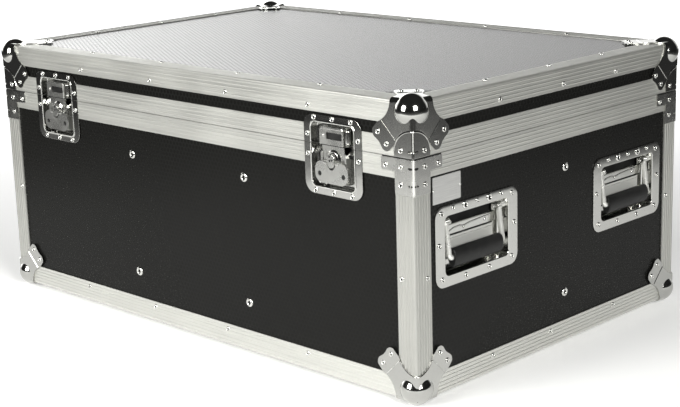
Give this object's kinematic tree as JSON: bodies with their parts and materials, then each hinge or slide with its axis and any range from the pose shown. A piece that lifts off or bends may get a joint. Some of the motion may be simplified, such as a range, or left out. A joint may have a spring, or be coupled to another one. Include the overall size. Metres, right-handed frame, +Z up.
{
  "type": "par can flight case",
  "caption": "Hinged-lid flight case for par can lanterns: ply panels in aluminium edging, ball corners, recessed butterfly latches, sprung end handles and a divided interior.",
  "frame": {"origin": "on the floor below the middle of the case, where its four bottom balls stand", "axes": "+X along the case to the right end as seen from the latch side, +Y from the latch side to the hinge side, +Z up"},
  "size_m": [0.876, 0.5987, 0.401],
  "materials": {
    "laminate": "black textured laminate on birch ply",
    "divider_ply": "black painted ply",
    "extrusion": "mill-finish extrusion, finely ribbed",
    "chrome": "bright plated pressed steel and rod",
    "nickel": "zinc or nickel plated pressed steel",
    "rubber": "smooth black moulded sleeve"
  },
  "bodies": {
    "base": {"bottom_panel": "laminate", "front_panel": "laminate", "back_panel": "laminate", "left_end_panel": "laminate", "right_end_panel": "laminate", "bottom_edge_frame": "extrusion", "base_rim_frame": "extrusion", "corner_post_front_left": "extrusion", "corner_post_front_right": "extrusion", "corner_post_back_right": "extrusion", "corner_post_back_left": "extrusion", "bottom_ball_corner_front_left": "chrome", "bottom_ball_corner_front_right": "chrome", "bottom_ball_corner_back_right": "chrome", "bottom_ball_corner_back_left": "chrome", "base_rim_brace_front_left": "nickel", "base_rim_brace_front_right": "nickel", "base_rim_brace_back_right": "nickel", "base_rim_brace_back_left": "nickel", "long_divider": "divider_ply", "cross_divider_left": "divider_ply", "cross_divider_right": "divider_ply", "latch_dish_left": "nickel", "latch_dish_right": "nickel", "handle_dish_left_front": "nickel", "handle_dish_left_back": "nickel", "handle_dish_right_front": "nickel", "handle_dish_right_back": "nickel", "hinge_base_leaf_left": "nickel", "hinge_base_leaf_right": "nickel"},
    "lid": {"lid_top_panel": "laminate", "lid_side_band": "laminate", "lid_edge_frame": "extrusion", "lid_rim_frame": "extrusion", "lid_ball_corner_front_left": "chrome", "lid_ball_corner_front_right": "chrome", "lid_ball_corner_back_right": "chrome", "lid_ball_corner_back_left": "chrome", "lid_corner_brace_front_left": "nickel", "lid_corner_brace_front_right": "nickel", "lid_corner_brace_back_right": "nickel", "lid_corner_brace_back_left": "nickel", "keeper_dish_left": "nickel", "keeper_dish_right": "nickel", "hinge_lid_leaf_left": "nickel", "hinge_lid_leaf_right": "nickel"},
    "latch_turn_left_body": {"latch_rotor_left": "nickel"},
    "latch_turn_right_body": {"latch_rotor_right": "nickel"},
    "wing_left": {"latch_wing_left": "nickel"},
    "wing_right": {"latch_wing_right": "nickel"},
    "hook_left": {"latch_hook_left": "nickel"},
    "hook_right": {"latch_hook_right": "nickel"},
    "handle_left_front": {"handle_bail_left_front": "chrome", "handle_grip_left_front": "rubber"},
    "handle_left_back": {"handle_bail_left_back": "chrome", "handle_grip_left_back": "rubber"},
    "handle_right_front": {"handle_bail_right_front": "chrome", "handle_grip_right_front": "rubber"},
    "handle_right_back": {"handle_bail_right_back": "chrome", "handle_grip_right_back": "rubber"}
  },
  "joints": [
    {"name": "lid_hinge", "type": "hinge", "parent": "base", "child": "lid", "pos_m": [0, 0.2965, 0.322], "axis": [-1, 0, 0], "range_deg": [0, 95]},
    {"name": "latch_turn_left", "type": "hinge", "parent": "base", "child": "latch_turn_left_body", "pos_m": [-0.294, -0.29, 0.304], "axis": [0, -1, 0], "range_deg": [0, 180]},
    {"name": "latch_turn_right", "type": "hinge", "parent": "base", "child": "latch_turn_right_body", "pos_m": [0.294, -0.29, 0.304], "axis": [0, -1, 0], "range_deg": [0, 180]},
    {"name": "wing_fold_left", "type": "hinge", "parent": "latch_turn_left_body", "child": "wing_left", "pos_m": [-0.294, -0.2934, 0.3], "axis": [-1, 0, 0], "range_deg": [0, 90]},
    {"name": "wing_fold_right", "type": "hinge", "parent": "latch_turn_right_body", "child": "wing_right", "pos_m": [0.294, -0.2934, 0.3], "axis": [-1, 0, 0], "range_deg": [0, 90]},
    {"name": "hook_slide_left", "type": "slide", "parent": "base", "child": "hook_left", "axis": [0, 0, 1], "range_m": [0, 0.008]},
    {"name": "hook_slide_right", "type": "slide", "parent": "base", "child": "hook_right", "axis": [0, 0, 1], "range_m": [0, 0.008]},
    {"name": "handle_swing_left_front", "type": "hinge", "parent": "base", "child": "handle_left_front", "pos_m": [-0.421, -0.1685, 0.2287], "axis": [0, 1, 0], "range_deg": [0, 83], "stiffness_Nm_per_rad": 0.5},
    {"name": "handle_swing_left_back", "type": "hinge", "parent": "base", "child": "handle_left_back", "pos_m": [-0.421, 0.1685, 0.2287], "axis": [0, 1, 0], "range_deg": [0, 83], "stiffness_Nm_per_rad": 0.5},
    {"name": "handle_swing_right_front", "type": "hinge", "parent": "base", "child": "handle_right_front", "pos_m": [0.421, -0.1685, 0.2287], "axis": [0, -1, 0], "range_deg": [0, 83], "stiffness_Nm_per_rad": 0.5},
    {"name": "handle_swing_right_back", "type": "hinge", "parent": "base", "child": "handle_right_back", "pos_m": [0.421, 0.1685, 0.2287], "axis": [0, -1, 0], "range_deg": [0, 83], "stiffness_Nm_per_rad": 0.5}
  ],
  "couplings": [
    {"joint": "hook_slide_left", "follows": "latch_turn_left", "m_per_rad": 0.002546},
    {"joint": "hook_slide_right", "follows": "latch_turn_right", "m_per_rad": 0.002546}
  ]
}
